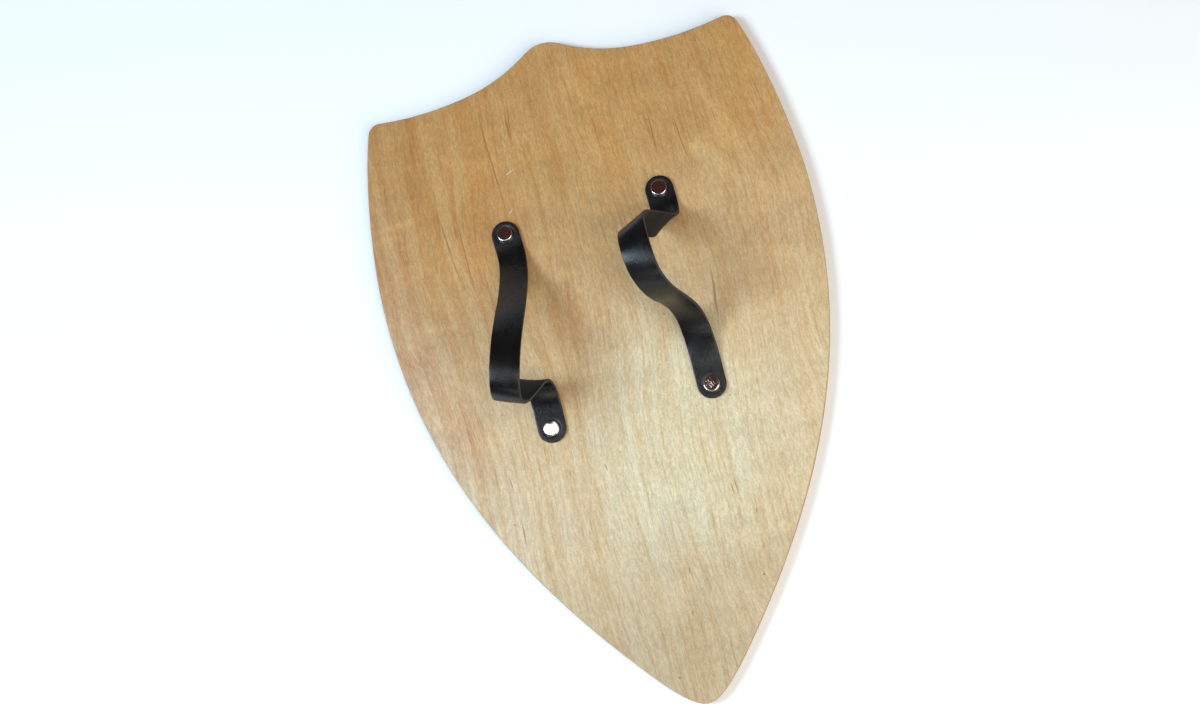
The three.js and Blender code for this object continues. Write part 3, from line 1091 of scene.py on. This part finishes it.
def set_by_hand(piece, facing, lean, depth):
    """Leans a crown by a few degrees, as hand setting does, and dents it by up to a depth."""
    slope_x, slope_y = (math.tan(math.radians(angle)) for angle in lean)
    for vertex in piece.data.vertices:
        x, y, z = vertex.co
        face_level = CAP_TOP if facing > 0 else 0
        near_face = 1 - float(soft_step(abs(z - face_level) / LEAN_REACH))
        from_axis = math.hypot(x, y)
        if from_axis > RIVET_RADIUS - WELD:
            near_face *= RIM_LEAN
        inside = 1 - float(soft_step((from_axis / RIVET_RADIUS - DENTED_SHARE) / DENT_FADE))
        spot = Vector((x, y, 0)) / DENT_SPACING
        sunk = depth * inside * (noise.noise(spot) + 0.5 * noise.noise(2.3 * spot) - 0.5)
        vertex.co.z -= near_face * (slope_x * x + slope_y * y - facing * sunk)


def copy_of(piece, name):
    """A copy of piece with its own mesh."""
    twin = piece.copy()
    twin.data = piece.data.copy()
    twin.name = twin.data.name = name
    bpy.context.scene.collection.objects.link(twin)
    return twin


# ---- the studio ----

CAMERA_PLACE = Vector((0.1046, -0.2123, 0.8936))
CAMERA_AIM = Vector((-0.0134, 0.0, 0.0082))
CAMERA_ROLL = math.radians(13.99)
FLOOR_SIZE = 12
# Each light's name, place, aim, size and colour.
LIGHTS = (
    ("overhead", (0.33, -0.34, 1.2), (0.33, -0.34, 0), (0.54, 0.98), (0.93, 1.0, 0.97)),
    ("shade", (-0.29, 0.16, 1.2), (-0.29, 0.16, 0), (0.36, 0.36), (0.98, 1.0, 0.98)),
    ("side", (-0.88, 0.08, 1.1), (0, 0, 0), (0.60, 0.60), (0.62, 0.82, 1.0)),
    ("fill", (1.0, -0.9, 0.9), (0, 0, 0), (1.2, 1.2), (1.0, 0.92, 0.82)),
    ("front", (-0.35, -1.70, 0.95), (0, 0, 0), (0.8, 0.6), (0.97, 1.0, 1.0)),
)


def set_camera():
    """Puts the camera in its place, turned to its aim and rolled."""
    backward = (CAMERA_PLACE - CAMERA_AIM).normalized()
    towards_top = Vector((math.sin(CAMERA_ROLL), math.cos(CAMERA_ROLL), 0))
    right = towards_top.cross(backward).normalized()
    up = backward.cross(right)
    leave_editing()
    bpy.ops.object.camera_add(location=CAMERA_PLACE)
    camera = bpy.context.object
    camera.name = "shield_camera"
    turn = Matrix((right, up, backward)).transposed().to_4x4()
    camera.matrix_world = Matrix.Translation(CAMERA_PLACE) @ turn
    camera.data.lens = 42.0
    camera.data.sensor_width = 36.0
    camera.data.clip_start = 0.01
    camera.data.clip_end = 50.0
    bpy.context.scene.camera = camera


def soft_light(name, place, aim, size, power, colour):
    """A rectangular light at place that faces aim."""
    leave_editing()
    bpy.ops.object.light_add(type="AREA", location=place)
    lamp = bpy.context.object
    lamp.name = lamp.data.name = name
    lamp.data.shape = "RECTANGLE"
    lamp.data.size, lamp.data.size_y = size
    lamp.data.energy = power
    lamp.data.color = colour
    lamp.rotation_euler = (Vector(aim) - Vector(place)).to_track_quat("-Z", "Y").to_euler()


def room(settings):
    """A dark ceiling over grey walls, which the rivets' crowns mirror."""
    world = bpy.data.worlds.new("dim_room")
    world.use_nodes = True
    tree = world.node_tree
    direction = add_node(tree, "ShaderNodeTexCoord").outputs["Generated"]
    walls = remap(tree, axis_of(tree, direction, "Z"), 0.75, 0.35)
    colour = blend(tree, walls, settings.ceiling_colour, settings.wall_colour)
    tree.links.new(colour, tree.nodes["Background"].inputs["Color"])
    return world


def floor_material(settings):
    material, tree, shader = new_material("pale_floor")
    mottle = clouds(tree, object_place(tree), 3.0, 2.0)
    slightly_dim = tuple(0.985 * c for c in settings.floor_colour)
    colour = blend(tree, mottle, slightly_dim, settings.floor_colour)
    tree.links.new(colour, shader.inputs["Base Color"])
    shader.inputs["Roughness"].default_value = 0.9
    shader.inputs["Specular IOR Level"].default_value = 0.1
    return material


# ---- operators ----


class SHIELD_OT_stage(bpy.types.Operator):
    """Lay the floor, hang the lights and set up the camera"""

    bl_idname = "play_shield.stage"
    bl_label = "Stage"

    def execute(self, context):
        settings = context.scene.shield_studio
        set_camera()
        leave_editing()
        bpy.ops.mesh.primitive_plane_add(size=1, location=(0, 0, 0))
        floor = bpy.context.object
        floor.name = floor.data.name = "pale_floor"
        start_editing(floor)
        bpy.ops.transform.resize(value=(FLOOR_SIZE, FLOOR_SIZE, 1))
        leave_editing()
        floor.data.materials.append(floor_material(settings))
        for name, place, aim, size, colour in LIGHTS:
            power = getattr(settings, f"{name}_power")
            soft_light(f"{name}_light", place, aim, size, power, colour)
        context.scene.world = room(settings)
        context.scene.view_settings.view_transform = "Standard"
        return {"FINISHED"}


class SHIELD_OT_board(bpy.types.Operator):
    """Build the plywood board with its four rivet holes"""

    bl_idname = "play_shield.board"
    bl_label = "Plywood Board"

    def execute(self, context):
        settings = context.scene.shield_board
        board = model_board(settings)
        depth = 4 * (BACK_FACE - FRONT_FACE)
        places = [(rivet.x, rivet.y, BACK_FACE) for rivet in RIVETS.values()]
        drill(board, places, context.scene.shield_rivets.hole_radius, depth)
        finish_board(board, settings)
        hand_over(board, "shield_board")
        return {"FINISHED"}


class SHIELD_OT_straps(bpy.types.Operator):
    """Cut, punch and lay the two leather straps"""

    bl_idname = "play_shield.straps"
    bl_label = "Leather Straps"

    def execute(self, context):
        settings = context.scene.shield_straps
        bite = context.scene.shield_rivets.bite
        finishes = [hair_side(settings), flesh_side(settings), cut_edge(settings)]
        for side in SIDES:
            route = STRAP_ROUTES[side]
            length = lay_out(route)[0][-1]
            strap = cut_blank(f"leather_strap_{side}", length, settings)
            for finish in finishes:
                strap.data.materials.append(finish)
            thicken(strap, settings)
            rivets = [RIVETS[row, side] for row in ROWS]
            lay_strap(strap, route, rivets, settings, bite)
            smooth_by(strap, 50)
            hand_over(strap, f"{side}_strap")
        return {"FINISHED"}


class SHIELD_OT_rivets(bpy.types.Operator):
    """Press the four rivets' caps and posts and set them in their holes"""

    bl_idname = "play_shield.rivets"
    bl_label = "Nickel Rivets"

    def execute(self, context):
        settings = context.scene.shield_rivets
        finish = plated_nickel(settings)
        makers = {"cap": (model_cap, 1), "post": (model_post, -1)}
        for part, (model, facing) in makers.items():
            first = model(f"rivet_{part}_blank", settings)
            first.data.materials.append(finish)
            for (row, side), place in RIVETS.items():
                piece = copy_of(first, f"nickel_{part}_{row}_{side}")
                lean, depth = RIVET_SETTING.get((part, row, side), ((0, 0), 0))
                set_by_hand(piece, facing, lean, depth * MM)
                piece.location = (place.x, place.y, 0)
                set_in_place(piece)
                smooth_by(piece, 60)
                hand_over(piece, f"rivet_{part}_{row}_{side}")
            bpy.data.objects.remove(first, do_unlink=True)
        return {"FINISHED"}


class SHIELD_PT_panel(bpy.types.Panel):
    """The shield's pieces and settings, in the 3D view's sidebar"""

    bl_idname = "SHIELD_PT_panel"
    bl_label = "Play Shield"
    bl_space_type = "VIEW_3D"
    bl_region_type = "UI"
    bl_category = "Play Shield"

    def draw(self, context):
        scene = context.scene
        for operator, group in BUILD_ORDER:
            box = self.layout.box()
            box.operator(operator.bl_idname)
            settings = getattr(scene, group)
            for name in settings.__annotations__:
                box.prop(settings, name)


BUILD_ORDER = (
    (SHIELD_OT_stage, "shield_studio"),
    (SHIELD_OT_board, "shield_board"),
    (SHIELD_OT_straps, "shield_straps"),
    (SHIELD_OT_rivets, "shield_rivets"),
)
SETTINGS = {
    "shield_studio": ShieldStudioSettings,
    "shield_board": ShieldBoardSettings,
    "shield_straps": ShieldStrapSettings,
    "shield_rivets": ShieldRivetSettings,
}


def register():
    for name, group in SETTINGS.items():
        bpy.utils.register_class(group)
        setattr(bpy.types.Scene, name, bpy.props.PointerProperty(type=group))
    for operator, _ in BUILD_ORDER:
        bpy.utils.register_class(operator)
    bpy.utils.register_class(SHIELD_PT_panel)


def unregister():
    bpy.utils.unregister_class(SHIELD_PT_panel)
    for operator, _ in reversed(BUILD_ORDER):
        bpy.utils.unregister_class(operator)
    for name, group in SETTINGS.items():
        delattr(bpy.types.Scene, name)
        bpy.utils.unregister_class(group)


def main():
    register()
    bpy.ops.play_shield.stage()
    bpy.ops.play_shield.board()
    bpy.ops.play_shield.straps()
    bpy.ops.play_shield.rivets()


if __name__ == "__main__":
    main()
